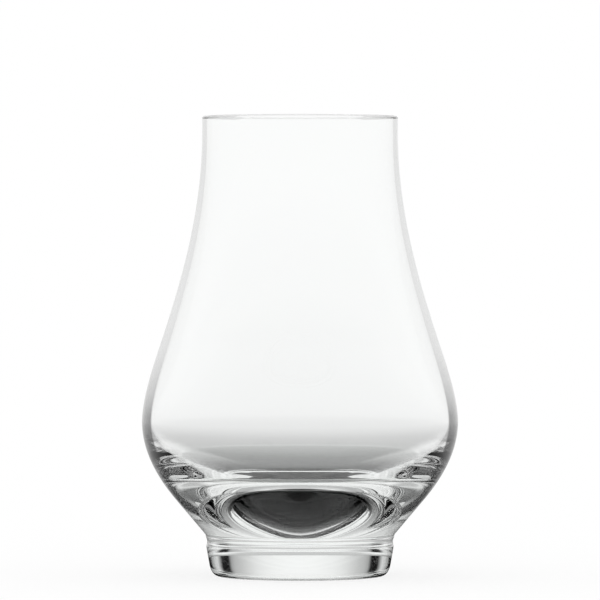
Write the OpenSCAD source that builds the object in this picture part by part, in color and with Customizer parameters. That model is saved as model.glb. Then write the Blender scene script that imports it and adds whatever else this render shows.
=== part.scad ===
// Nosing glass: a pear-shaped bowl on a thick solid base, a collar and a disc foot.
// The glass stands on z = 0 with its axis on z. Sizes are in millimetres.
// Heights stack upwards from the foot, and every piece is a turned outline.

/* [Foot] */
// Height of the foot, from the table to the collar
foot_h = 7.9; // [6:0.1:12]
// Radius of the foot at its top edge, the low ridge under the collar
foot_r = 24.45; // [21:0.05:27]
// How much narrower the foot is above its bottom edge than at its top
foot_draft = 0.85; // [0.3:0.05:2]
// Height of the rounded bottom edge
edge_h = 3.1; // [1.5:0.1:5]
// Width of the rounded bottom edge
edge_w = 2.9; // [1.5:0.1:4]
// Width of the flat ring that touches the table
ring_w = 1; // [0.6:0.1:5]
// Height of the shallow hollow inside the ring
punt_h = 0.8; // [0.3:0.1:3]

/* [Collar] */
// Height of the hollow band of the collar
band_h = 2.3; // [1:0.1:4]
// Radius of the waist, halfway up the hollow band
waist_r = 24.2; // [20:0.05:26]
// How much wider the band is at its top than the ridge at its bottom
band_flare = 0.1; // [0.05:0.05:1]
// Height of the fillet from the band to the base
fillet_h = 1.1; // [0.6:0.1:3]
// Width of that fillet
fillet_w = 0.4; // [0.3:0.05:2]

/* [Base] */
// Height of the straight cone at the bottom of the base
cone_h = 8.4; // [4:0.1:12]
// Lean of that cone, in degrees from upright
cone_lean = 40.4; // [30:0.1:48]
// Glass under the deepest point of the well, down to the collar
floor_t = 3.2; // [2.5:0.1:9]
// Wall where the bowl is welded to the base, measured level
weld_wall = 5.2; // [2.5:0.1:8]
// Lean of the inner face there, in degrees from upright
well_lean = 35; // [30:1:55]

/* [Bowl] */
// Height from the cone to the belly, the widest place
belly_rise = 20.6; // [16:0.1:26]
// Outer radius of the belly
belly_r = 41.2; // [38:0.1:46]
// Height from the belly to the shoulder, where the wall leans in most
shoulder_rise = 22.9; // [18:0.1:28]
// Outer radius of the shoulder
shoulder_r = 35.5; // [32:0.1:38]
// Lean of the wall at the shoulder, in degrees from upright
shoulder_lean = 18; // [12:1:24]
// Height from the shoulder to the upright band at the mouth
neck_rise = 52.8; // [40:0.1:65]
// Outer radius of the mouth
mouth_r = 25.5; // [20:0.1:30]
// Height of the upright band at the mouth, lip included
mouth_h = 4; // [3:0.1:8]

/* [Walls] */
// Wall at the mouth
rim_wall = 1.2; // [0.8:0.1:2]
// Wall at the shoulder
shoulder_wall = 2; // [1.2:0.1:3]
// Wall at the belly
belly_wall = 2.4; // [1.5:0.1:4]

/* [Smoothness] */
// Straight steps along each curve of an outline
curve_steps = 20; // [12:1:40]
// Straight steps along the rounded lip
lip_steps = 8; // [6:1:24]

/* [Hidden] */
$fn = 96;
crystal = [0.88, 0.91, 0.90, 0.45];

// Lengths of a curve's two handles, at its lower and its upper end, as shares of the curve's height
neck_handle_shares = [0.297, 0.383];
shoulder_handle_shares = [0.311, 0.239];
belly_handle_shares = [0.393, 0.364];
well_side_handle_shares = [0.1, 0.53];
fillet_handle_shares = [0.5, 0.5];
// Heights of the hollow band's two handles, as shares of its height
band_handle_shares = [0.35, 0.7];
// Handles of the well's dish: along its floor as a share of its width, at its edge as a share of its depth
dish_handle_shares = [0.25, 0.23];
// Handles of the foot's rounded edge: along the table as a share of its width, and up its side
// as a share of its height
edge_handle_shares = [0.6, 0.6];
// Share of the way up the belly curve at which the bowl is welded to the base
weld_share = 0.4;

// Heights above the table at which the pieces start
collar_z = foot_h;
base_z = collar_z + band_h + fillet_h;

// Radii along the outside, from the foot up
edge_r = foot_r - foot_draft;
ring_r = edge_r - edge_w;
punt_r = ring_r - ring_w;
band_r = foot_r + band_flare;
base_r = band_r + fillet_w;
cone_r = base_r + cone_h * tan(cone_lean);

// Heights of the base and the bowl, above the collar
belly_h = cone_h + belly_rise;
shoulder_h = belly_h + shoulder_rise;
neck_h = shoulder_h + neck_rise;
lip_h = neck_h + mouth_h;

// Directions of the outline: straight up, along the cone, along the shoulder, along the well's side
up = [0, 1];
cone_dir = [sin(cone_lean), cos(cone_lean)];
shoulder_dir = [-sin(shoulder_lean), cos(shoulder_lean)];
well_dir = [sin(well_lean), cos(well_lean)];

// Point of a curve at the share t of its way
function curve_point(c, t) =
    pow(1 - t, 3) * c[0] + 3 * pow(1 - t, 2) * t * c[1] + 3 * (1 - t) * t * t * c[2] + pow(t, 3) * c[3];

// Direction of a curve at the share t of its way
function curve_dir(c, t) =
    let (d = pow(1 - t, 2) * (c[1] - c[0]) + 2 * (1 - t) * t * (c[2] - c[1]) + t * t * (c[3] - c[2]))
    d / norm(d);

// Points of a curve at its steps from first to last, either way
function curve_points(c, first, last) = [
    for (i = [first : (last > first ? 1 : -1) : last]) curve_point(c, i / curve_steps)
];

// Points inside a rising outer curve, from its top down to its last step but one, behind a wall
// that goes evenly from w0 at the foot of the curve to w1 at its top
function wall_points(c, w0, w1) = [
    for (i = [curve_steps : -1 : 1])
        let (t = i / curve_steps, d = curve_dir(c, t), w = w0 + (w1 - w0) * t)
        curve_point(c, t) + w * [-d[1], d[0]]
];

// Points around the rounded lip, from the outer face over the top to the inner face
function lip_points() = [
    for (i = [0 : lip_steps])
        let (a = 180 * i / lip_steps, r = rim_wall / 2)
        [mouth_r - r + r * cos(a), lip_h - r + r * sin(a)]
];

// Rising curves, each as four points: its two ends with the ends of their handles between them
belly_curve = [
    [cone_r, cone_h],
    [cone_r, cone_h] + cone_dir * belly_rise * belly_handle_shares[0],
    [belly_r, belly_h] - up * belly_rise * belly_handle_shares[1],
    [belly_r, belly_h]
];
shoulder_curve = [
    [belly_r, belly_h],
    [belly_r, belly_h] + up * shoulder_rise * shoulder_handle_shares[0],
    [shoulder_r, shoulder_h] - shoulder_dir * shoulder_rise * shoulder_handle_shares[1],
    [shoulder_r, shoulder_h]
];
neck_curve = [
    [shoulder_r, shoulder_h],
    [shoulder_r, shoulder_h] + shoulder_dir * neck_rise * neck_handle_shares[0],
    [mouth_r, neck_h] - up * neck_rise * neck_handle_shares[1],
    [mouth_r, neck_h]
];

// The weld between base and bowl: a step of the belly curve, and the inner face level with it
weld_step = round(curve_steps * weld_share);
weld_out = curve_point(belly_curve, weld_step / curve_steps);
weld_in = weld_out - [weld_wall, 0];

// Rising curves of the well: its dish in the base, then its side in the bowl
dish_depth = weld_in[1] - floor_t;
dish_curve = [
    [0, floor_t],
    [weld_in[0] * dish_handle_shares[0], floor_t],
    weld_in - well_dir * dish_depth * dish_handle_shares[1],
    weld_in
];
side_rise = belly_h - weld_in[1];
side_curve = [
    weld_in,
    weld_in + well_dir * side_rise * well_side_handle_shares[0],
    [belly_r - belly_wall, belly_h] - up * side_rise * well_side_handle_shares[1],
    [belly_r - belly_wall, belly_h]
];

// Blown bowl: outside from the weld up to the lip, then inside down to the weld
module bowl() {
    color(crystal)
    translate([0, 0, base_z])
    rotate_extrude()
    polygon(concat(
        curve_points(belly_curve, weld_step, curve_steps),
        curve_points(shoulder_curve, 1, curve_steps),
        curve_points(neck_curve, 1, curve_steps),
        lip_points(),
        wall_points(neck_curve, shoulder_wall, rim_wall),
        wall_points(shoulder_curve, belly_wall, shoulder_wall),
        curve_points(side_curve, curve_steps, 0)
    ));
}

// Thick base: a solid cone that widens into the belly, with the dish of the well on top
module base() {
    color(crystal)
    translate([0, 0, base_z])
    rotate_extrude()
    polygon(concat(
        [[0, 0], [base_r, 0]],
        curve_points(belly_curve, 0, weld_step),
        curve_points(dish_curve, curve_steps, 0)
    ));
}

// Collar: a hollow band above the foot's ridge, with a fillet out to the base
module collar() {
    collar_h = band_h + fillet_h;
    // Both handles have the radius that brings the middle of the curve to the waist
    handle_r = (waist_r - (foot_r + band_r) / 8) / (3 / 4);
    band_curve = [
        [foot_r, 0],
        [handle_r, band_h * band_handle_shares[0]],
        [handle_r, band_h * band_handle_shares[1]],
        [band_r, band_h]
    ];
    fillet_curve = [
        [band_r, band_h],
        [band_r, band_h] + up * fillet_h * fillet_handle_shares[0],
        [base_r, collar_h] - cone_dir * fillet_h * fillet_handle_shares[1],
        [base_r, collar_h]
    ];
    color(crystal)
    translate([0, 0, collar_z])
    rotate_extrude()
    polygon(concat(
        [[0, 0]],
        curve_points(band_curve, 0, curve_steps),
        curve_points(fillet_curve, 1, curve_steps),
        [[0, collar_h]]
    ));
}

// Pressed foot: a solid disc with a drafted side, a rounded edge, a resting ring and a shallow hollow
module foot() {
    side = [foot_draft, foot_h - edge_h];
    edge_curve = [
        [ring_r, 0],
        [ring_r + edge_w * edge_handle_shares[0], 0],
        [edge_r, edge_h] - side / norm(side) * edge_h * edge_handle_shares[1],
        [edge_r, edge_h]
    ];
    punt_sphere_r = (punt_r * punt_r + punt_h * punt_h) / (2 * punt_h);
    punt_angle = asin(punt_r / punt_sphere_r);
    punt_points = [
        for (i = [0 : curve_steps])
            let (a = punt_angle * i / curve_steps)
            [punt_sphere_r * sin(a), punt_h - punt_sphere_r * (1 - cos(a))]
    ];
    color(crystal)
    rotate_extrude()
    polygon(concat(
        punt_points,
        curve_points(edge_curve, 0, curve_steps),
        [[foot_r, foot_h], [0, foot_h]]
    ));
}

bowl();
base();
collar();
foot();
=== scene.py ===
import math

import bpy
import numpy as np
from bpy.props import FloatProperty, FloatVectorProperty, IntProperty, PointerProperty
from bpy.types import Operator, Panel, PropertyGroup
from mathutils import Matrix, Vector


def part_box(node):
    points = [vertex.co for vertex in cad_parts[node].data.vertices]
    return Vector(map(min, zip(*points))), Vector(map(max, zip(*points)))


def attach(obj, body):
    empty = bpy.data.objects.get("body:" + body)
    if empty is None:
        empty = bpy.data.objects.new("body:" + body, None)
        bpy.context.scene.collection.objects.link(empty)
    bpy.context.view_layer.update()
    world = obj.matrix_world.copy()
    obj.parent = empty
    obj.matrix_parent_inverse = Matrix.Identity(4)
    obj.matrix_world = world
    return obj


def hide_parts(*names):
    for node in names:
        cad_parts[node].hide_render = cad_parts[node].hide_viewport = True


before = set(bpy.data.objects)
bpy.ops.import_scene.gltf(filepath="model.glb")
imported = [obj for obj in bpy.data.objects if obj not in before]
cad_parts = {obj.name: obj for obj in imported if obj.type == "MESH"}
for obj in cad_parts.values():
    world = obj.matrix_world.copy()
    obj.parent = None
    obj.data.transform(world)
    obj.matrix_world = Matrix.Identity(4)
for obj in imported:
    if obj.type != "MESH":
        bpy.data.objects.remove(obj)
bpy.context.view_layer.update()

bl_info = {
    "name": "Nosing glass",
    "version": (1, 0, 0),
    "blender": (4, 5, 0),
    "location": "View3D > Sidebar > Nosing glass",
    "description": "A clear nosing glass on a thick base, and the pale studio it stands in",
    "category": "Add Mesh",
}

FOOT_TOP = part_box("foot")[1].z
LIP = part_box("bowl")[1].z

# Outlines: the way up, how close two points are one, and what each end and both handles together
# count for in the middle of a cubic curve
UP = np.array([0.0, 1.0])
ONE_POINT = 1e-9
END_AT_MIDDLE, HANDLES_AT_MIDDLE = 1 / 8, 3 / 4

# Straight steps of a run, where the row height doesn't give them
FEWEST_STEPS = 4
HOLLOW_STEPS = 40
RING_STEPS = 3
EDGE_STEPS = 16
SIDE_STEPS = 6
BAND_STEPS = 14
FILLET_STEPS = 10
DISC_STEPS = 4
WELD_STEPS = 2
MOUTH_STEPS = 5
LIP_STEPS = 16

# Material slots of a piece, and how strong the waves of a blown and a pressed piece are
GLASS, WELD, INSIDE, LIP_GLASS = 0, 1, 2, 3
BLOWN, PRESSED = 0.5, 1.0

# Sockets of a Mix node that mixes colours, and of a Mix Shader
FIRST_COLOUR, SECOND_COLOUR, MIXED_COLOUR = 6, 7, 2
SHARE, FIRST_SHADER, SECOND_SHADER = 0, 1, 2
WHITE = (1.0, 1.0, 1.0, 1.0)

# Patterns of the crystal: scales are per metre, or per ripple for the draw lines
DRIFT_SCALE, DRIFT_DETAIL, DRIFT_POWER = 30.0, 2.0, 1.6
WAVE_DETAIL, WAVE_SHARE = 1.0, 0.7
LINE_SCALE, LINE_DETAIL, LINE_SHARE = 0.6, 0.0, 0.3
LINE_FLATTENING = (1.0, 1.0, 7.0)
WIPING_SCALE, WIPING_DETAIL = 55.0, 4.0
WIPING_START, WIPING_FULL = 0.5, 0.8

# Painted shade on an outer face by its slant, from 0, square on, to 1, edge on: how clear its
# colour stays at the edge of the glass, and where on it the wall's painted shade starts
PAINTED_EDGE_SHADE = [(0, 1.0), (0.66, 1.0), (0.8, 0.8)]
PAINTED_SHADE_SLANT = [(0, 0.0), (0.65, 0.0), (0.675, 1.0), (1, 1.0)]
# How clear the wall's colour stays there under its painted shade, by the height in metres
PAINTED_SHADE_BY_HEIGHT = [
    (0, 0.8), (0.024, 0.8), (0.029, 0.3), (0.031, 0.1), (0.035, 0.06), (0.042, 0.06),
    (0.0445, 0.2), (0.047, 0.35), (0.052, 0.6), (0.06, 0.9), (0.07, 1.0), (0.12, 1.0)]

# A count on the Light Path node is at least one, two or three above these
ONE_UP, TWO_UP, THREE_UP = 0.5, 1.5, 2.5

# Floor: radius of its innermost row, its rows and steps, and the faint grain of its surface
INNER_ROW, FLOOR_ROWS, FLOOR_STEPS = 0.02, 24, 64
GRAIN_SCALE, GRAIN_DETAIL, GRAIN_DEPTH = 6.0, 3.0, 0.01

# Brightness of the floor by the distance from the axis in metres, as the glass sees it, with a
# painted shadow of the glass near the axis: mirrored in the outside of the glass, through solid
# crystal, and through two walls
MIRRORED_PAINTED_SHADOW = [
    (0, 0.0), (0.08, 0.0), (0.1, 0.15), (0.14, 0.45), (0.25, 0.65), (0.45, 0.8), (1.0, 0.95),
    (2.0, 1.0)]
SOLID_PAINTED_SHADOW = [
    (0, 0.35), (0.05, 0.35), (0.06, 0.6), (0.1, 0.65), (0.5, 0.65), (1.0, 0.85), (2.0, 1.0)]
WALLS_PAINTED_SHADOW = [
    (0, 0.0), (0.03, 0.0), (0.037, 0.2), (0.048, 0.22), (0.056, 0.25), (0.065, 0.29),
    (0.075, 0.39), (0.088, 0.48), (0.15, 0.61), (0.2, 0.7), (0.26, 0.76), (0.38, 0.8),
    (0.62, 0.84), (0.87, 0.875), (1.2, 0.92), (2.0, 0.97), (4.0, 1.0)]
# Where the last two paint the glass's shadow: near the foot, and behind the glass, by degrees
# from straight behind it
PAINTED_SHADOW_NEAR_FOOT = [(0, 1.0), (0.045, 1.0), (0.1, 0.0), (0.2, 0.0)]
PAINTED_SHADOW_BEHIND_GLASS = [(0, 1.0), (22, 1.0), (34, 0.0), (180, 0.0)]
# Brightness of the floor for light turned back in the crystal, a painted shadow over a patch
# under the glass whose middle lies a little towards -y and which is wider along x
PATCH_SHIFT, PATCH_SCALE = (0.0, 0.004, 0.0), (0.8, 1.0, 1.0)
PAINTED_SHADOW_PATCH = [
    (0, 0.0), (0.022, 0.0), (0.025, 0.15), (0.028, 0.9), (0.035, 1.0), (0.065, 1.0), (0.09, 0.55),
    (0.2, 0.55), (1.0, 0.74), (4.0, 0.74)]

# Brightness of the studio by degrees from straight behind the glass: the backdrop up to the cards,
# its end and the start of the walls beside a card, the walls, and the room in front
BACKDROP = [
    (0, 1.0), (5, 0.99), (10, 0.96), (15, 0.92), (20, 0.84), (25, 0.72), (30, 0.6), (35, 0.52)]
CARD_EDGE, BACKDROP_END, WALL_START = 3, 0.4, 0.3
WALL_AFTER_CARD, WALL_LEVEL = 8, 0.85
WALLS = [(78, WALL_LEVEL), (180, 0.9)]
ROOM_IN_FRONT, ROOM_DARK_FROM, ROOM_END = [(0, 1.0), (84, 1.0), (88, 0.1)], 112, 180
# Brightness by degrees above level: the ceiling, and the sky that two walls see
CEILING = [(-90, 1.0), (16, 1.0), (34, 0.55), (50, 0.45)]
SKY_BY_WALLS = [(-90, 1.0), (10, 1.0), (24, 0.25), (90, 0.25)]
STRAIGHT_DOWN, STRAIGHT_UP = -90, 90

# Camera: width of its sensor in millimetres and its reach in metres. Bounces let light cross the
# crystal many times
SENSOR_WIDTH, CAMERA_REACH = 36, 100
BOUNCES = 32


# Sizes, finish and studio

class GlassSizes(PropertyGroup):
    """Sizes of the glass. Radii are measured from its axis and heights stack up from the table."""

    foot_height: FloatProperty(
        name="Foot height", description="From the table to the ridge under the collar",
        default=FOOT_TOP, unit="LENGTH")
    foot_radius: FloatProperty(
        name="Foot radius", description="Radius of the ridge at the top of the foot",
        default=0.02445, unit="LENGTH")
    foot_draft: FloatProperty(
        name="Foot draft", description="How much narrower the side of the foot is at its lower end",
        default=0.00085, unit="LENGTH")
    edge_height: FloatProperty(
        name="Edge height", description="Height of the rounded bottom edge",
        default=0.0031, unit="LENGTH")
    edge_width: FloatProperty(
        name="Edge width", description="Width of the rounded bottom edge",
        default=0.0029, unit="LENGTH")
    ring_width: FloatProperty(
        name="Ring width", description="Width of the flat ring that touches the table",
        default=0.001, unit="LENGTH")
    punt_height: FloatProperty(
        name="Hollow height", description="Height of the shallow hollow under the foot",
        default=0.0008, unit="LENGTH")
    edge_handles: FloatVectorProperty(
        name="Edge handles",
        description="Handles of the rounded edge, as shares of its width and height",
        size=2, default=(0.6, 0.6))

    band_height: FloatProperty(
        name="Band height", description="Height of the hollow band of the collar",
        default=0.0023, unit="LENGTH")
    waist_radius: FloatProperty(
        name="Waist radius", description="Radius halfway up the hollow band",
        default=0.0242, unit="LENGTH")
    band_flare: FloatProperty(
        name="Band flare", description="How much wider the band is at its top than the foot",
        default=0.0001, unit="LENGTH")
    fillet_height: FloatProperty(
        name="Fillet height", description="Height of the fillet from the band to the base",
        default=0.0011, unit="LENGTH")
    fillet_width: FloatProperty(
        name="Fillet width", description="Width of the fillet from the band to the base",
        default=0.0004, unit="LENGTH")
    band_handles: FloatVectorProperty(
        name="Band handles", description="Heights of the band's handles, as shares of its height",
        size=2, default=(0.35, 0.7))
    fillet_handles: FloatVectorProperty(
        name="Fillet handles", description="Handles of the fillet, as shares of its height",
        size=2, default=(0.5, 0.5))

    cone_height: FloatProperty(
        name="Cone height", description="Height of the straight cone of the base",
        default=0.0084, unit="LENGTH")
    cone_lean: FloatProperty(
        name="Cone lean", description="Lean of the cone from upright",
        default=math.radians(40.4), subtype="ANGLE", unit="ROTATION")
    floor_thickness: FloatProperty(
        name="Floor", description="Glass under the deepest point of the well, down to the collar",
        default=0.0032, unit="LENGTH")
    weld_wall: FloatProperty(
        name="Wall at the weld", description="Wall where the bowl meets the base, measured level",
        default=0.0052, unit="LENGTH")
    well_lean: FloatProperty(
        name="Well lean", description="Lean of the inner face at the weld from upright",
        default=math.radians(35), subtype="ANGLE", unit="ROTATION")
    dish_handles: FloatVectorProperty(
        name="Dish handles", description="Handle along the well's floor, as a share of its width, "
        "and at its edge, as a share of its depth", size=2, default=(0.25, 0.23))
    side_handles: FloatVectorProperty(
        name="Well side handles", description="Handles of the well's side, as shares of its height",
        size=2, default=(0.1, 0.53))

    belly_rise: FloatProperty(
        name="Belly rise", description="Height from the cone to the widest place",
        default=0.0206, unit="LENGTH")
    belly_radius: FloatProperty(
        name="Belly radius", description="Outer radius at the widest place",
        default=0.0412, unit="LENGTH")
    belly_handles: FloatVectorProperty(
        name="Belly handles", description="Handles of the lower belly, as shares of its height",
        size=2, default=(0.393, 0.364))
    shoulder_rise: FloatProperty(
        name="Shoulder rise", description="Height from the belly to where the wall leans in most",
        default=0.0229, unit="LENGTH")
    shoulder_radius: FloatProperty(
        name="Shoulder radius", description="Outer radius where the wall leans in most",
        default=0.0355, unit="LENGTH")
    shoulder_lean: FloatProperty(
        name="Shoulder lean", description="Lean of the wall there, inwards from upright",
        default=math.radians(18), subtype="ANGLE", unit="ROTATION")
    shoulder_handles: FloatVectorProperty(
        name="Shoulder handles", description="Handles of the shoulder, as shares of its height",
        size=2, default=(0.311, 0.239))
    mouth_height: FloatProperty(
        name="Mouth band", description="Height of the upright band at the mouth, lip included",
        default=0.004, unit="LENGTH")
    mouth_radius: FloatProperty(
        name="Mouth radius", description="Outer radius of the mouth",
        default=0.0255, unit="LENGTH")
    neck_handles: FloatVectorProperty(
        name="Neck handles", description="Handles of the neck, as shares of its height",
        size=2, default=(0.297, 0.383))
    rim_wall: FloatProperty(
        name="Rim wall", description="Wall at the mouth", default=0.0012, unit="LENGTH")
    shoulder_wall: FloatProperty(
        name="Shoulder wall", description="Wall at the shoulder", default=0.002, unit="LENGTH")
    belly_wall: FloatProperty(
        name="Belly wall", description="Wall at the belly", default=0.0024, unit="LENGTH")
    weld_share: FloatProperty(
        name="Weld",
        description="Share of the way up the lower belly at which the bowl is welded on",
        default=0.4, subtype="FACTOR")

    steps_around: IntProperty(
        name="Steps around", description="Straight steps round the glass", default=256, min=32)
    row_height: FloatProperty(
        name="Row height", description="Length of one step along the outline",
        default=0.0006, unit="LENGTH")


class GlassFinish(PropertyGroup):
    """Look of the crystal."""

    bowl_colour: FloatVectorProperty(
        name="Bowl", description="Colour of the thin blown wall", subtype="COLOR", size=3,
        default=(0.992, 0.996, 0.994))
    base_colour: FloatVectorProperty(
        name="Base", description="Colour of the thick base", subtype="COLOR", size=3,
        default=(0.975, 0.988, 0.98))
    # Painted shade: the grey painted into an outer face's colour where it is seen edge on
    painted_edge_grey: FloatProperty(
        name="Edge grey", description="How clear the crystal is where light runs along the wall",
        default=0.6, subtype="FACTOR")
    refraction: FloatProperty(
        name="Refraction", description="Index of refraction of the crystal", default=1.52)
    lip_share: FloatProperty(
        name="Lip", description="Share of the light that passes the thin lip unturned, so that it "
        "shows as a faint line", default=0.75, subtype="FACTOR")
    ripple_size: FloatProperty(
        name="Ripple size", description="Width of the faint waves that pressing and blowing leave",
        default=0.012, unit="LENGTH")
    ripple_depth: FloatProperty(
        name="Ripple depth", description="Depth of those waves",
        default=0.000003, unit="LENGTH")
    smudge: FloatProperty(
        name="Smudge", description="Roughness of the faintest wiping marks", default=0.012)


class StudioLight(PropertyGroup):
    """Camera, floor and soft light."""

    distance: FloatProperty(
        name="Camera distance", description="From the glass to the camera",
        default=3.0, unit="LENGTH")
    camera_height: FloatProperty(
        name="Camera height", description="Height of the camera above the table",
        default=0.178, unit="LENGTH")
    aim_height: FloatProperty(
        name="Aim height", description="Height that the camera looks at",
        default=0.072, unit="LENGTH")
    frame_width: FloatProperty(
        name="Frame width", description="Width of the picture at the glass",
        default=0.1563, unit="LENGTH")
    floor_radius: FloatProperty(
        name="Floor radius", description="Radius of the floor", default=30.0, unit="LENGTH")
    shadow_share: FloatProperty(
        name="Shadow",
        description="Share of the floor's light that the shadow of the glass can take away",
        default=0.2, subtype="FACTOR")
    card_inner: FloatProperty(
        name="Card inner edge",
        description="Direction of a dark card's inner edge, from straight behind the glass",
        default=math.radians(41), subtype="ANGLE", unit="ROTATION")
    card_outer: FloatProperty(
        name="Card outer edge",
        description="Direction of a dark card's outer edge, from straight behind the glass",
        default=math.radians(49), subtype="ANGLE", unit="ROTATION")
    card_level: FloatProperty(
        name="Card brightness", description="Brightness of the dark cards", default=0.01)
    card_top: FloatProperty(
        name="Card top", description="Height angle up to which backdrop and cards reach",
        default=math.radians(24), subtype="ANGLE", unit="ROTATION")
    card_fade: FloatProperty(
        name="Card fade", description="Height angle over which they fade into the walls",
        default=math.radians(12), subtype="ANGLE", unit="ROTATION")
    sky_level: FloatProperty(
        name="Wall brightness", description="Brightness of the studio's walls, seen in the glass",
        default=0.97)
    turned_level: FloatProperty(
        name="Turned brightness", description="Brightness of the studio for light that was turned "
        "back once, as in the edge of a wall", default=0.74)
    ceiling_level: FloatProperty(
        name="Ceiling brightness", description="Brightness straight above, seen in solid crystal",
        default=0.25)
    front_level: FloatProperty(
        name="Front brightness", description="Brightness of the dark room in front, seen by light "
        "that was turned back in the crystal", default=0.03)


# Outlines

def curve(start, start_handle, end_handle, end, steps, part=(0.0, 1.0)):
    """Points and directions of a cubic curve for t evenly spaced over its part:
    (1-t)^3 start + 3(1-t)^2 t handle + 3(1-t) t^2 handle + t^3 end, and the derivative scaled to
    length one."""
    t = np.linspace(part[0], part[1], max(FEWEST_STEPS, int(steps)) + 1)[:, None]
    a, b, c, d = (np.asarray(p, float) for p in (start, start_handle, end_handle, end))
    points = (1 - t) ** 3 * a + 3 * (1 - t) ** 2 * t * b + 3 * (1 - t) * t**2 * c + t**3 * d
    along = (1 - t) ** 2 * (b - a) + 2 * (1 - t) * t * (c - b) + t**2 * (d - c)
    along /= np.linalg.norm(along, axis=1)[:, None]
    return points, along


def straight(start, end, steps):
    """Evenly spaced points on a straight line, and its direction at each of them."""
    start, end = np.asarray(start, float), np.asarray(end, float)
    points = start + (end - start) * np.linspace(0, 1, int(steps) + 1)[:, None]
    along = np.repeat([(end - start) / np.linalg.norm(end - start)], len(points), axis=0)
    return points, along


def backwards(run):
    """The same run of points, walked the other way."""
    points, along = run
    return points[::-1], -along[::-1]


def behind_wall(run, first_wall, last_wall):
    """A run moved to the inner side by a wall that goes evenly from its first to its last
    thickness."""
    points, along = run
    wall = np.linspace(first_wall, last_wall, len(points))[:, None]
    return points + wall * np.stack([-along[:, 1], along[:, 0]], axis=1), along


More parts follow.
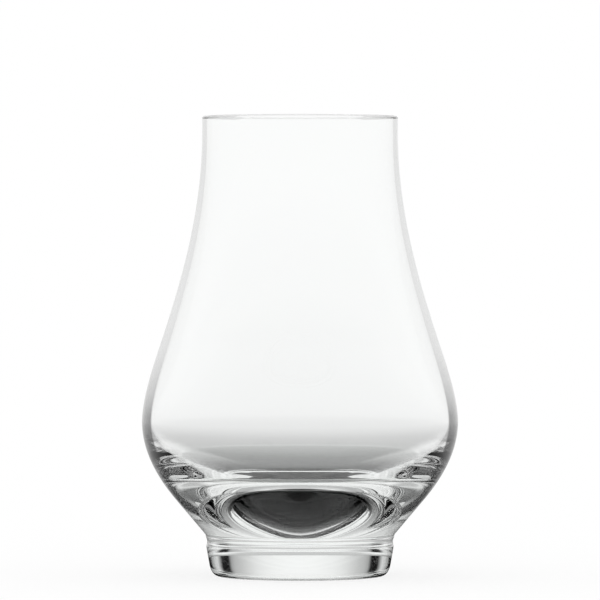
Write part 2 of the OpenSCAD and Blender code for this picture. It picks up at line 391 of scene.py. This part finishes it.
def glass_runs(sizes):
    """The runs of the glass's outline, each a smooth stretch between two corners, in
    (radius, height). Outer runs rise, the runs of the well rise too, and level runs go outwards."""
    s = sizes
    cone = np.array([math.sin(s.cone_lean), math.cos(s.cone_lean)])
    shoulder_way = np.array([-math.sin(s.shoulder_lean), math.cos(s.shoulder_lean)])
    well_way = np.array([math.sin(s.well_lean), math.cos(s.well_lean)])
    step = s.row_height

    side_foot = np.array([s.foot_radius - s.foot_draft, s.edge_height])
    ridge = np.array([s.foot_radius, s.foot_height])
    side_way = (ridge - side_foot) / np.linalg.norm(ridge - side_foot)
    ring_out = np.array([side_foot[0] - s.edge_width, 0.0])
    ring_in = ring_out - [s.ring_width, 0]
    ball = (ring_in[0] ** 2 + s.punt_height**2) / (2 * s.punt_height)
    turn = np.linspace(0, math.asin(ring_in[0] / ball), HOLLOW_STEPS + 1)[:, None]
    hollow = (
        np.hstack([ball * np.sin(turn), s.punt_height - ball * (1 - np.cos(turn))]),
        np.hstack([np.cos(turn), -np.sin(turn)]),
    )
    edge = curve(ring_out, ring_out + [s.edge_width * s.edge_handles[0], 0],
                 side_foot - side_way * s.edge_height * s.edge_handles[1], side_foot, EDGE_STEPS)
    side = straight(side_foot, ridge, SIDE_STEPS)

    # Both handles of the band have the radius that brings the middle of its curve to the waist
    band_top = np.array([s.foot_radius + s.band_flare, s.foot_height + s.band_height])
    hold = (s.waist_radius - (ridge[0] + band_top[0]) * END_AT_MIDDLE) / HANDLES_AT_MIDDLE
    band = curve(ridge, [hold, s.foot_height + s.band_height * s.band_handles[0]],
                 [hold, s.foot_height + s.band_height * s.band_handles[1]], band_top, BAND_STEPS)
    base_foot = band_top + [s.fillet_width, s.fillet_height]
    fillet = curve(band_top, band_top + UP * s.fillet_height * s.fillet_handles[0],
                   base_foot - cone * s.fillet_height * s.fillet_handles[1], base_foot,
                   FILLET_STEPS)

    cone_top = base_foot + cone * s.cone_height / cone[1]
    cone_side = straight(base_foot, cone_top, s.cone_height / step)
    belly = np.array([s.belly_radius, cone_top[1] + s.belly_rise])
    belly_curve = (cone_top, cone_top + cone * s.belly_rise * s.belly_handles[0],
                   belly - UP * s.belly_rise * s.belly_handles[1], belly)
    belly_low = curve(*belly_curve, s.weld_share * s.belly_rise / step, (0, s.weld_share))
    belly_high = curve(*belly_curve, (1 - s.weld_share) * s.belly_rise / step, (s.weld_share, 1))
    weld_out = belly_low[0][-1]
    weld_in = weld_out - [s.weld_wall, 0]

    shoulder = np.array([s.shoulder_radius, belly[1] + s.shoulder_rise])
    shoulder_run = curve(belly, belly + UP * s.shoulder_rise * s.shoulder_handles[0],
                         shoulder - shoulder_way * s.shoulder_rise * s.shoulder_handles[1],
                         shoulder, s.shoulder_rise / step)
    neck = np.array([s.mouth_radius, LIP - s.mouth_height])
    rise = neck[1] - shoulder[1]
    neck_run = curve(shoulder, shoulder + shoulder_way * rise * s.neck_handles[0],
                     neck - UP * rise * s.neck_handles[1], neck, rise / step)
    round_r = s.rim_wall / 2
    lip_foot = np.array([s.mouth_radius, LIP - round_r])
    a = np.linspace(0, math.pi, LIP_STEPS + 1)[:, None]
    lip = (lip_foot + round_r * np.hstack([np.cos(a) - 1, np.sin(a)]),
           np.hstack([-np.sin(a), np.cos(a)]))

    neck_in = behind_wall(neck_run, s.shoulder_wall, s.rim_wall)
    shoulder_in = behind_wall(shoulder_run, s.belly_wall, s.shoulder_wall)
    belly_in = belly - [s.belly_wall, 0]
    rise = belly[1] - weld_in[1]
    well_side = curve(weld_in, weld_in + well_way * rise * s.side_handles[0],
                      belly_in - UP * rise * s.side_handles[1], belly_in, rise / step)
    deep = np.array([0.0, base_foot[1] + s.floor_thickness])
    depth = weld_in[1] - deep[1]
    dish = curve(deep, deep + [weld_in[0] * s.dish_handles[0], 0],
                 weld_in - well_way * depth * s.dish_handles[1], weld_in, weld_in[0] / step)
    return {
        "hollow": hollow, "ring": straight(ring_in, ring_out, RING_STEPS), "edge": edge,
        "side": side, "foot_top": straight([0, ridge[1]], ridge, DISC_STEPS),
        "band": band, "fillet": fillet,
        "collar_top": straight([0, base_foot[1]], base_foot, DISC_STEPS),
        "cone": cone_side, "belly_low": belly_low,
        "weld": straight(weld_in, weld_out, WELD_STEPS), "dish": dish,
        "belly_high": belly_high, "shoulder": shoulder_run, "neck": neck_run,
        "mouth": straight(neck, lip_foot, MOUTH_STEPS), "lip": lip,
        "mouth_in": straight(neck - [s.rim_wall, 0], lip_foot - [s.rim_wall, 0], MOUTH_STEPS),
        "neck_in": neck_in, "shoulder_in": shoulder_in, "well_side": well_side,
    }


def turned_piece(name, runs, finishes, steps_around):
    """A closed surface of revolution. The vertex of outline point (r, z) at the angle a is
    (r cos a, r sin a, z), and its normal is (dz cos a, dz sin a, -dr), where (dr, dz) is the
    outline's direction there, so the faces stay smooth along a run and keep their corners between
    runs. Runs follow one another with the glass on their left, and finishes gives each run's
    material."""
    points = np.concatenate([runs[0][0][:1]] + [run[0][1:] for run in runs])
    along = np.concatenate([np.stack([run[1][:-1], run[1][1:]], axis=1) for run in runs])
    paint = np.concatenate([np.full(len(run[0]) - 1, f) for run, f in zip(runs, finishes)])
    closed = bool(np.linalg.norm(points[0] - points[-1]) < ONE_POINT)
    if closed:
        points = points[:-1]
    angle = np.linspace(0, 2 * math.pi, steps_around, endpoint=False)
    spokes = np.stack([np.cos(angle), np.sin(angle)], axis=1)

    on_axis = points[:, 0] < ONE_POINT
    row_size = np.where(on_axis, 1, steps_around)
    row_start = np.concatenate([[0], np.cumsum(row_size)[:-1]])
    rows = points[~on_axis]
    vertices = np.zeros((int(row_size.sum()), 3))
    place = row_start[~on_axis][:, None] + np.arange(steps_around)[None, :]
    vertices[place, 0] = rows[:, :1] * spokes[:, 0]
    vertices[place, 1] = rows[:, :1] * spokes[:, 1]
    vertices[place, 2] = rows[:, 1:]
    vertices[row_start[on_axis], 2] = points[on_axis, 1]

    lower = np.arange(len(along))
    upper = (lower + 1) % len(points)
    this = np.arange(steps_around)
    following = (this + 1) % steps_around
    low_axis, high_axis = on_axis[lower], on_axis[upper]

    def corner(row, turn, axis):
        """Vertex of a row at a turn: the row's only one where it lies on the axis."""
        return row_start[row][:, None] + np.where(axis[:, None], 0, turn[None, :])

    low_this, low_next = corner(lower, this, low_axis), corner(lower, following, low_axis)
    high_next, high_this = corner(upper, following, high_axis), corner(upper, this, high_axis)

    def facing(way, turn):
        """Normals of the outline directions way at the angles of turn."""
        out = np.empty((len(way), steps_around, 3))
        out[..., :2] = way[:, 1, None, None] * spokes[turn][None, :, :]
        out[..., 2] = -way[:, 0, None]
        return out

    low_way, high_way = along[:, 0], along[:, 1]
    corners = np.stack([low_this, low_next, high_next, high_this], axis=2)
    normals = np.stack([facing(low_way, this), facing(low_way, following),
                        facing(high_way, following), facing(high_way, this)], axis=2)
    faces, loop_normals, face_paint = [], [], []
    # Quads between two rows, and triangles where the lower or the upper row is a point on the axis
    quads = (~low_axis & ~high_axis, [0, 1, 2, 3])
    for keep, loops in (quads, (low_axis, [0, 2, 3]), (high_axis, [0, 1, 2])):
        if keep.any():
            faces += corners[keep][:, :, loops].reshape(-1, len(loops)).tolist()
            loop_normals.append(normals[keep][:, :, loops].reshape(-1, 3))
            face_paint.append(np.repeat(paint[keep], steps_around))

    mesh = bpy.data.meshes.new(name)
    mesh.from_pydata(vertices.tolist(), [], faces)
    mesh.polygons.foreach_set("use_smooth", np.ones(len(faces), bool))
    mesh.polygons.foreach_set("material_index", np.concatenate(face_paint).astype(np.int32))
    mesh.update()
    mesh.normals_split_custom_set(np.concatenate(loop_normals).tolist())
    piece = bpy.data.objects.new(name, mesh)
    bpy.context.scene.collection.objects.link(piece)
    return piece


# Materials

class Wire:
    """An output socket. Sums, differences, products, quotients and comparisons with numbers or
    other wires add Math nodes."""

    def __init__(self, board, socket):
        self.board = board
        self.socket = socket

    def math(self, operation, *values):
        return self.board.add("ShaderNodeMath", {"operation": operation}, dict(enumerate(values)))

    def __add__(self, other):
        return self.math("ADD", self, other)

    def __radd__(self, other):
        return self.math("ADD", other, self)

    def __sub__(self, other):
        return self.math("SUBTRACT", self, other)

    def __rsub__(self, other):
        return self.math("SUBTRACT", other, self)

    def __mul__(self, other):
        return self.math("MULTIPLY", self, other)

    def __rmul__(self, other):
        return self.math("MULTIPLY", other, self)

    def __truediv__(self, other):
        return self.math("DIVIDE", self, other)

    def __rtruediv__(self, other):
        return self.math("DIVIDE", other, self)

    def __gt__(self, other):
        return self.math("GREATER_THAN", self, other)

    def __lt__(self, other):
        return self.math("LESS_THAN", self, other)


class Board:
    """The node tree of a material or of the world, emptied first."""

    def __init__(self, owner):
        owner.use_nodes = True
        self.tree = owner.node_tree
        self.tree.nodes.clear()

    def add(self, kind, settings=None, sockets=None, output=0):
        """A node of this kind: its settings first, then the values or wires of its sockets.
        Stops are a ramp's places from 0 to 1, each with its grey. Gives back one output, or all by
        name."""
        node = self.tree.nodes.new(kind)
        for key, value in (settings or {}).items():
            if key == "stops":
                self.set_stops(node.color_ramp.elements, value)
            else:
                setattr(node, key, value)
        for key, value in (sockets or {}).items():
            if isinstance(value, Wire):
                self.tree.links.new(value.socket, node.inputs[key])
            else:
                node.inputs[key].default_value = value
        if output is None:
            return {socket.name: Wire(self, socket) for socket in node.outputs}
        return Wire(self, node.outputs[output]) if node.outputs else node

    @staticmethod
    def set_stops(elements, stops):
        while len(elements) > 1:
            elements.remove(elements[-1])
        for count, (place, grey) in enumerate(stops):
            element = elements[0] if count == 0 else elements.new(place)
            element.position = place
            element.color = (grey, grey, grey, 1)

    def ramp(self, value, stops):
        """Straight lines between (value, grey) stops, as a colour ramp over their whole width."""
        low, high = stops[0][0], stops[-1][0]
        share = (value - low) / (high - low)
        return self.add("ShaderNodeValToRGB",
                        {"stops": [((place - low) / (high - low), grey) for place, grey in stops]},
                        {"Fac": share})

    @staticmethod
    def turn_from_behind(x, y):
        """Angle round the axis from straight behind the glass, 0 to 180 degrees on either side."""
        return x.math("DEGREES", x.math("ABSOLUTE", x.math("ARCTAN2", x, y)))


def crystal(name, colour, finish, ripple, outer=True, see_through=0.0):
    """Clear crystal: refraction with a faint colour that drifts over the glass, the soft waves left
    by blowing or pressing, fine draw lines round the axis, and the faintest wiping marks. On an
    outer face its colour also carries painted shade: it greys where the face is seen edge on, as
    the dark edge of a wall, most of all where the wall grows into the base. See-through is the
    share of the light that passes the face as if it weren't there."""
    material = bpy.data.materials.new(name)
    board = Board(material)
    place = board.add("ShaderNodeTexCoord", output=None)["Object"]
    drift = board.add("ShaderNodeTexNoise", {},
                      {"Vector": place, "Scale": DRIFT_SCALE, "Detail": DRIFT_DETAIL})
    deeper = [c**DRIFT_POWER for c in colour]
    clear = board.add("ShaderNodeMix", {"data_type": "RGBA"},
                      {"Factor": drift, FIRST_COLOUR: (*colour, 1.0),
                       SECOND_COLOUR: (*deeper, 1.0)}, output=MIXED_COLOUR)
    # Painted shade: an outer face's colour greys where it is seen edge on, most of all low on the
    # wall where it grows into the base
    if outer:
        height = board.add("ShaderNodeSeparateXYZ", {}, {0: place}, output="Z")
        slant = board.add("ShaderNodeLayerWeight", {}, {"Blend": 0.5}, output="Facing")
        edge_shade_paint = board.ramp(slant, [*PAINTED_EDGE_SHADE, (1, finish.painted_edge_grey)])
        shade_slant_mask = board.ramp(slant, PAINTED_SHADE_SLANT)
        height_shade_paint = board.ramp(height, PAINTED_SHADE_BY_HEIGHT)
        painted_edge_and_wall_shade = edge_shade_paint * (1.0 + (height_shade_paint - 1.0) * shade_slant_mask)
        clear = board.add("ShaderNodeMix", {"data_type": "RGBA", "blend_type": "MULTIPLY"},
                          {"Factor": 1.0, FIRST_COLOUR: clear, SECOND_COLOUR: painted_edge_and_wall_shade},
                          output=MIXED_COLOUR)
    waves = board.add("ShaderNodeTexNoise", {},
                      {"Vector": place, "Scale": 1 / finish.ripple_size, "Detail": WAVE_DETAIL})
    flat = board.add("ShaderNodeMapping", {}, {"Vector": place, "Scale": LINE_FLATTENING})
    lines = board.add("ShaderNodeTexNoise", {},
                      {"Vector": flat, "Scale": LINE_SCALE / finish.ripple_size,
                       "Detail": LINE_DETAIL})
    bump = board.add("ShaderNodeBump", {},
                     {"Height": waves * WAVE_SHARE + lines * LINE_SHARE, "Strength": 1.0,
                      "Distance": finish.ripple_depth * ripple})
    wiping = board.add("ShaderNodeTexNoise", {},
                       {"Vector": place, "Scale": WIPING_SCALE, "Detail": WIPING_DETAIL})
    marks = board.add("ShaderNodeValToRGB",
                      {"stops": [(WIPING_START, 0.0), (WIPING_FULL, finish.smudge)]},
                      {"Fac": wiping})
    glass = board.add("ShaderNodeBsdfPrincipled", {}, {
        "Base Color": clear, "Roughness": marks, "IOR": finish.refraction,
        "Transmission Weight": 1.0, "Normal": bump})
    if see_through:
        plain = board.add("ShaderNodeBsdfTransparent", {}, {"Color": WHITE})
        glass = board.add("ShaderNodeMixShader", {},
                          {SHARE: see_through, FIRST_SHADER: glass, SECOND_SHADER: plain})
    board.add("ShaderNodeOutputMaterial", {}, {"Surface": glass})
    return material


def clear_weld():
    """The weld faces inside the glass, where two pieces are one body of crystal: nothing shows
    there."""
    material = bpy.data.materials.get("clear_weld")
    if material is None:
        material = bpy.data.materials.new("clear_weld")
        board = Board(material)
        clear = board.add("ShaderNodeBsdfTransparent", {}, {"Color": WHITE})
        board.add("ShaderNodeOutputMaterial", {}, {"Surface": clear})
    return material


def stand_in(piece, node, colour, ripple, finish):
    """Gives a piece its materials in the order of the slots, and lets it stand for its node. Only
    bowl and base have an inside, and only the bowl has a lip."""
    piece.data.materials.append(crystal(node + "_crystal", colour, finish, ripple))
    piece.data.materials.append(clear_weld())
    if node in ("bowl", "base"):
        piece.data.materials.append(crystal(node + "_crystal_inside", colour, finish, ripple,
                                            outer=False))
    if node == "bowl":
        piece.data.materials.append(crystal("lip_crystal", colour, finish, ripple, outer=False,
                                            see_through=finish.lip_share))
    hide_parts(node)
    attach(piece, "root")


# Pieces

class GLASS_OT_bowl(Operator):
    """Blow the bowl: the outside from the weld up to the lip, then the inside down to the weld"""

    bl_idname = "glass.bowl"
    bl_label = "Bowl"

    def execute(self, context):
        glass = context.scene.nosing_glass
        r = glass_runs(glass.sizes)
        outside = [r[name] for name in ("belly_high", "shoulder", "neck", "mouth")]
        inside = [backwards(r[name])
                  for name in ("mouth_in", "neck_in", "shoulder_in", "well_side")]
        runs = [*outside, r["lip"], *inside, r["weld"]]
        finishes = [GLASS] * len(outside) + [LIP_GLASS] + [INSIDE] * len(inside) + [WELD]
        piece = turned_piece("bowl_blown", runs, finishes, glass.sizes.steps_around)
        stand_in(piece, "bowl", glass.finish.bowl_colour, BLOWN, glass.finish)
        return {"FINISHED"}


class GLASS_OT_base(Operator):
    """Press the base: a solid cone that widens into the belly, with the dish of the well on top"""

    bl_idname = "glass.base"
    bl_label = "Base"

    def execute(self, context):
        glass = context.scene.nosing_glass
        r = glass_runs(glass.sizes)
        runs = [r["collar_top"], r["cone"], r["belly_low"], backwards(r["weld"]),
                backwards(r["dish"])]
        finishes = [WELD, GLASS, GLASS, WELD, INSIDE]
        piece = turned_piece("base_pressed", runs, finishes, glass.sizes.steps_around)
        stand_in(piece, "base", glass.finish.base_colour, PRESSED, glass.finish)
        return {"FINISHED"}


class GLASS_OT_collar(Operator):
    """Press the collar: a hollow band with a fillet out to the base"""

    bl_idname = "glass.collar"
    bl_label = "Collar"

    def execute(self, context):
        glass = context.scene.nosing_glass
        r = glass_runs(glass.sizes)
        runs = [r["foot_top"], r["band"], r["fillet"], backwards(r["collar_top"])]
        finishes = [WELD, GLASS, GLASS, WELD]
        piece = turned_piece("collar_pressed", runs, finishes, glass.sizes.steps_around)
        stand_in(piece, "collar", glass.finish.base_colour, PRESSED, glass.finish)
        return {"FINISHED"}


class GLASS_OT_foot(Operator):
    """Press the foot: a disc with a drafted side, a rounded edge, a resting ring and a hollow"""

    bl_idname = "glass.foot"
    bl_label = "Foot"

    def execute(self, context):
        glass = context.scene.nosing_glass
        r = glass_runs(glass.sizes)
        runs = [r["hollow"], r["ring"], r["edge"], r["side"], backwards(r["foot_top"])]
        finishes = [GLASS, GLASS, GLASS, GLASS, WELD]
        piece = turned_piece("foot_pressed", runs, finishes, glass.sizes.steps_around)
        stand_in(piece, "foot", glass.finish.base_colour, PRESSED, glass.finish)
        return {"FINISHED"}


# Studio

def floor_disc(radius, steps_around):
    """A level disc: the vertex of a row at the angle a is (r cos a, r sin a, 0), with r growing
    evenly in its logarithm from the innermost row to the radius. A point closes the middle."""
    row = np.geomspace(INNER_ROW, radius, FLOOR_ROWS)
    angle = np.linspace(0, 2 * math.pi, steps_around, endpoint=False)
    ring = np.stack([row[:, None] * np.cos(angle), row[:, None] * np.sin(angle),
                     np.zeros((len(row), steps_around))], axis=2).reshape(-1, 3)
    start = np.arange(len(row) - 1)[:, None] * steps_around
    this = np.arange(steps_around)
    following = (this + 1) % steps_around
    quads = np.stack([start + this, start + steps_around + this, start + steps_around + following,
                      start + following], axis=2).reshape(-1, 4)
    middle = np.stack([np.full(steps_around, len(ring)), this, following], axis=1)
    mesh = bpy.data.meshes.new("floor")
    mesh.from_pydata(ring.tolist() + [[0.0, 0.0, 0.0]], [], quads.tolist() + middle.tolist())
    mesh.update()
    floor = bpy.data.objects.new("floor", mesh)
    bpy.context.scene.collection.objects.link(floor)
    return floor


def solid_crystal(rays):
    """1 for light that went into the crystal and out of it once, as in the foot, the base and the
    edge of a wall, and 0 for light that crossed two walls or none."""
    faces = rays["Transmission Depth"]
    return (faces > ONE_UP) * (faces < THREE_UP)


def paint_floor(floor, studio):
    """A plain white floor. The camera sees it white, less the share of its light that the glass
    shades. Seen in the glass it carries a painted shadow of the glass. Mirrored in the outside of
    the glass it is dark at the foot. Light that was turned back inside solid crystal finds it dark
    in a patch under the glass. Light that went straight through finds it grey near the foot and
    behind the glass, and white elsewhere."""
    material = bpy.data.materials.new("pale_floor")
    board = Board(material)
    rays = board.add("ShaderNodeLightPath", output=None)
    place = board.add("ShaderNodeTexCoord", output=None)["Object"]
    away = board.add("ShaderNodeVectorMath", {"operation": "LENGTH"}, {0: place}, output="Value")
    x, y, _ = board.add("ShaderNodeSeparateXYZ", {}, {0: place}, output=None).values()
    turn = board.turn_from_behind(x, y)
    # Painted shadow of the glass, seen only in the glass: darker near the foot, under it and behind
    # it
    mirrored = board.ramp(away, MIRRORED_PAINTED_SHADOW)
    patch = board.add("ShaderNodeMapping", {},
                      {"Vector": place, "Location": PATCH_SHIFT, "Scale": PATCH_SCALE})
    patch = board.add("ShaderNodeVectorMath", {"operation": "LENGTH"}, {0: patch}, output="Value")
    under = board.ramp(patch, PAINTED_SHADOW_PATCH)
    by_solid = board.ramp(away, SOLID_PAINTED_SHADOW)
    by_walls = board.ramp(away, WALLS_PAINTED_SHADOW)
    near = board.ramp(away, PAINTED_SHADOW_NEAR_FOOT)
    behind = board.ramp(turn, PAINTED_SHADOW_BEHIND_GLASS)
    solid = solid_crystal(rays)
    darker = near.math("MAXIMUM", near, behind) * (rays["Glossy Depth"] < ONE_UP)
    unturned = 1.0 + (by_walls + (by_solid - by_walls) * solid - 1.0) * darker
    inside = unturned + (under - unturned) * solid * (rays["Glossy Depth"] > ONE_UP)
    glow = inside + (mirrored - inside) * (rays["Transmission Depth"] < ONE_UP)
    grain = board.add("ShaderNodeTexNoise", {},
                      {"Vector": place, "Scale": GRAIN_SCALE, "Detail": GRAIN_DETAIL})
    paper = grain * GRAIN_DEPTH + (1.0 - GRAIN_DEPTH)
    seen_in_glass = board.add("ShaderNodeEmission", {}, {"Strength": glow * paper})
    lit = board.add("ShaderNodeBsdfDiffuse", {}, {"Color": (*[studio.shadow_share] * 3, 1.0)})
    own = board.add("ShaderNodeEmission", {}, {"Strength": 1.0 - studio.shadow_share})
    seen = board.add("ShaderNodeAddShader", {}, {0: lit, 1: own})
    to_camera = board.add("ShaderNodeMixShader", {},
                          {SHARE: rays["Is Camera Ray"], FIRST_SHADER: seen_in_glass,
                           SECOND_SHADER: seen})
    board.add("ShaderNodeOutputMaterial", {}, {"Surface": to_camera})
    floor.data.materials.append(material)


def light_world(studio):
    """Even soft light from all round, which the thin walls see dimmer high up. Solid crystal sees
    more of the studio. Light that went straight through it finds a backdrop that falls off to its
    sides, a dark card on each side of it, and pale walls beyond. Light that was turned back in it
    once finds one even grey. Light turned back more often finds the backdrop, the cards and the
    walls again, and also the dim ceiling and the dark room in front."""
    world = bpy.data.worlds.new("studio")
    bpy.context.scene.world = world
    world.cycles.sampling_method = "NONE"
    board = Board(world)
    way = board.add("ShaderNodeTexCoord", output=None)["Generated"]
    x, y, z = board.add("ShaderNodeSeparateXYZ", {}, {0: way}, output=None).values()
    rise = z.math("DEGREES", z.math("ARCSINE", z))
    turn = board.turn_from_behind(x, y)
    near, far = math.degrees(studio.card_inner), math.degrees(studio.card_outer)
    backdrop = board.ramp(turn, [
        *BACKDROP, (near - CARD_EDGE, BACKDROP_END), (near, studio.card_level),
        (far, studio.card_level), (far + CARD_EDGE, WALL_START),
        (far + WALL_AFTER_CARD, WALL_LEVEL), *WALLS])
    low, high = math.degrees(studio.card_top), math.degrees(studio.card_top + studio.card_fade)
    reach = board.ramp(rise, [(STRAIGHT_DOWN, 1.0), (low, 1.0), (high, 0.0), (STRAIGHT_UP, 0.0)])
    ceiling = board.ramp(rise, [*CEILING, (STRAIGHT_UP, studio.ceiling_level)])
    front = board.ramp(turn, [*ROOM_IN_FRONT, (ROOM_DARK_FROM, studio.front_level),
                              (ROOM_END, studio.front_level)])
    high_up = board.ramp(rise, SKY_BY_WALLS)
    rays = board.add("ShaderNodeLightPath", output=None)
    turned = rays["Glossy Depth"]
    unturned = 1.0 + (backdrop - 1.0) * reach
    once = unturned + (studio.turned_level - unturned) * (turned > ONE_UP)
    inside = once + (unturned * ceiling * front - once) * (turned > TWO_UP)
    walls = (rays["Transmission Depth"] > THREE_UP) * (turned < ONE_UP)
    outside = studio.sky_level * (1.0 + (high_up - 1.0) * walls)
    plain = z.math("MAXIMUM", rays["Is Camera Ray"], rays["Is Diffuse Ray"])
    glow = outside + (inside - outside) * solid_crystal(rays)
    sky = board.add("ShaderNodeBackground", {},
                    {"Color": WHITE, "Strength": glow + (1.0 - glow) * plain})
    board.add("ShaderNodeOutputWorld", {}, {"Surface": sky})


def place_camera(studio):
    """A long lens a little above the rim, aimed above the middle of the glass."""
    data = bpy.data.cameras.new("camera")
    camera = bpy.data.objects.new("camera", data)
    bpy.context.scene.collection.objects.link(camera)
    camera.location = (0, -studio.distance, studio.camera_height)
    aim = Vector((0, 0, studio.aim_height)) - camera.location
    camera.rotation_euler = aim.to_track_quat("-Z", "Y").to_euler()
    data.sensor_width = SENSOR_WIDTH
    data.lens = data.sensor_width * aim.length / studio.frame_width
    data.clip_end = CAMERA_REACH
    bpy.context.scene.camera = camera


class GLASS_OT_studio(Operator):
    """Lay the floor, light the studio and place the camera"""

    bl_idname = "glass.studio"
    bl_label = "Studio"

    def execute(self, context):
        studio = context.scene.nosing_glass.studio
        floor = floor_disc(studio.floor_radius, FLOOR_STEPS)
        paint_floor(floor, studio)
        light_world(studio)
        place_camera(studio)
        scene = context.scene
        scene.view_settings.view_transform = "Standard"
        scene.cycles.max_bounces = BOUNCES
        scene.cycles.glossy_bounces = BOUNCES
        scene.cycles.transmission_bounces = BOUNCES
        scene.cycles.transparent_max_bounces = BOUNCES
        return {"FINISHED"}


class NosingGlass(PropertyGroup):
    """Everything that a user may change."""

    sizes: PointerProperty(type=GlassSizes)
    finish: PointerProperty(type=GlassFinish)
    studio: PointerProperty(type=StudioLight)


class VIEW3D_PT_nosing_glass(Panel):
    """The pieces, the studio and their values"""

    bl_label = "Nosing glass"
    bl_space_type = "VIEW_3D"
    bl_region_type = "UI"
    bl_category = "Nosing glass"

    def draw(self, context):
        glass = context.scene.nosing_glass
        for operator in OPERATORS:
            self.layout.operator(operator.bl_idname)
        for group in (glass.sizes, glass.finish, glass.studio):
            box = self.layout.box()
            for name in group.bl_rna.properties.keys():
                if name not in ("rna_type", "name"):
                    box.prop(group, name)


OPERATORS = (GLASS_OT_studio, GLASS_OT_foot, GLASS_OT_collar, GLASS_OT_base, GLASS_OT_bowl)
CLASSES = (GlassSizes, GlassFinish, StudioLight, NosingGlass, *OPERATORS, VIEW3D_PT_nosing_glass)


def register():
    for cls in CLASSES:
        bpy.utils.register_class(cls)
    bpy.types.Scene.nosing_glass = PointerProperty(type=NosingGlass)


def unregister():
    del bpy.types.Scene.nosing_glass
    for cls in reversed(CLASSES):
        bpy.utils.unregister_class(cls)


def main():
    """Makes the studio and the four pieces."""
    register()
    bpy.ops.glass.studio()
    bpy.ops.glass.foot()
    bpy.ops.glass.collar()
    bpy.ops.glass.base()
    bpy.ops.glass.bowl()


if __name__ == "__main__":
    main()
